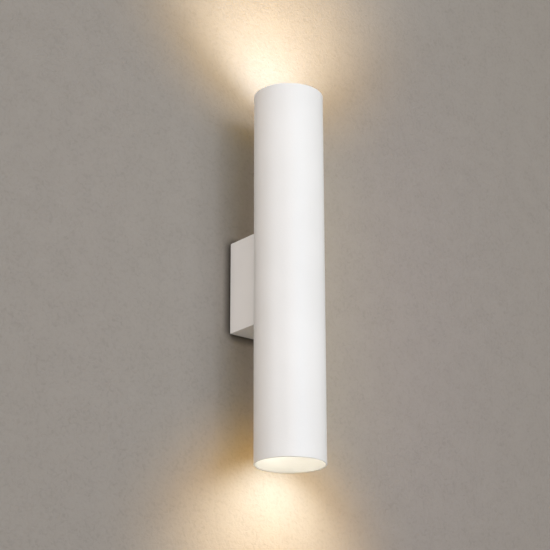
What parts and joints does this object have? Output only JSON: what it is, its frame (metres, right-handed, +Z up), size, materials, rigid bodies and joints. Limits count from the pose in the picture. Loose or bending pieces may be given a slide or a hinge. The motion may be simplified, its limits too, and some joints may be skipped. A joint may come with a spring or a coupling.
{
  "type": "tube wall light",
  "caption": "Upright round tube open at both ends, held off the wall by a small box, that lights the wall above and below it.",
  "frame": {"origin": "on the wall plane, midway between the two wall screw slots of the wall plate", "axes": "+X to the right along the wall, +Y into the wall, +Z up along the tube"},
  "size_m": [0.073, 0.11, 0.4],
  "materials": {
    "tube_coat": "matte",
    "box_coat": "matte",
    "coated_screw": "matte",
    "zinc_plate": "satin",
    "zinc_bracket": "satin",
    "entry_rubber": "matte",
    "block_plastic": "satin",
    "clamp_brass": "satin",
    "plated_screw": "satin",
    "tinned_copper": "satin",
    "earth_sheath": "satin",
    "live_sheath": "satin",
    "neutral_sheath": "satin",
    "glass_sleeve": "matte",
    "holder_ceramic": "matte",
    "lamp_plastic": "satin",
    "lamp_shell": "satin",
    "pin_metal": "satin",
    "circuit_board": "satin",
    "lamp_lens": "gloss"
  },
  "bodies": {
    "fixture": {"box_lock_screws": "coated_screw", "cable_entry_grommet": "entry_rubber", "carrier_nuts": "plated_screw", "carrier_spacers": "plated_screw", "carrier_strip": "zinc_plate", "lower_bracket_screws": "plated_screw", "lower_holder_bracket": "zinc_bracket", "lower_lampholder": "holder_ceramic", "lower_lampholder_contacts": "clamp_brass", "lower_lampholder_cover": "holder_ceramic", "lower_lampholder_screws": "plated_screw", "lower_lead_sleeve": "glass_sleeve", "lower_live_lead": "live_sheath", "lower_neutral_lead": "neutral_sheath", "plate_earth_lead": "earth_sheath", "plate_earth_lug": "tinned_copper", "plate_earth_screw": "plated_screw", "terminal_block_clamps": "clamp_brass", "terminal_block_fixing_screws": "plated_screw", "terminal_block_housing": "block_plastic", "terminal_block_screws": "plated_screw", "tube_body": "tube_coat", "tube_earth_lead": "earth_sheath", "tube_earth_lug": "tinned_copper", "tube_earth_screw": "plated_screw", "tube_fixing_screws": "plated_screw", "tube_fixing_washers": "plated_screw", "tube_grommet": "entry_rubber", "upper_bracket_screws": "plated_screw", "upper_holder_bracket": "zinc_bracket", "upper_lampholder": "holder_ceramic", "upper_lampholder_contacts": "clamp_brass", "upper_lampholder_cover": "holder_ceramic", "upper_lampholder_screws": "plated_screw", "upper_lead_sleeve": "glass_sleeve", "upper_live_lead": "live_sheath", "upper_neutral_lead": "neutral_sheath", "wall_box": "box_coat", "wall_plate": "zinc_plate"},
    "upper_lamp": {"upper_lamp_base": "lamp_plastic", "upper_lamp_driver_board": "circuit_board", "upper_lamp_heatsink": "lamp_shell", "upper_lamp_led_board": "circuit_board", "upper_lamp_lens": "lamp_lens", "upper_lamp_pins": "pin_metal"},
    "lower_lamp": {"lower_lamp_base": "lamp_plastic", "lower_lamp_driver_board": "circuit_board", "lower_lamp_heatsink": "lamp_shell", "lower_lamp_led_board": "circuit_board", "lower_lamp_lens": "lamp_lens", "lower_lamp_pins": "pin_metal"}
  },
  "joints": [
    {"name": "upper_lamp_twist", "type": "hinge", "parent": "fixture", "child": "upper_lamp", "pos_m": [0, -0.0735, 0.136], "axis": [0, 0, 1], "range_deg": [0, 35]},
    {"name": "lower_lamp_twist", "type": "hinge", "parent": "fixture", "child": "lower_lamp", "pos_m": [0, -0.0735, -0.136], "axis": [0, 0, -1], "range_deg": [0, 35]}
  ]
}
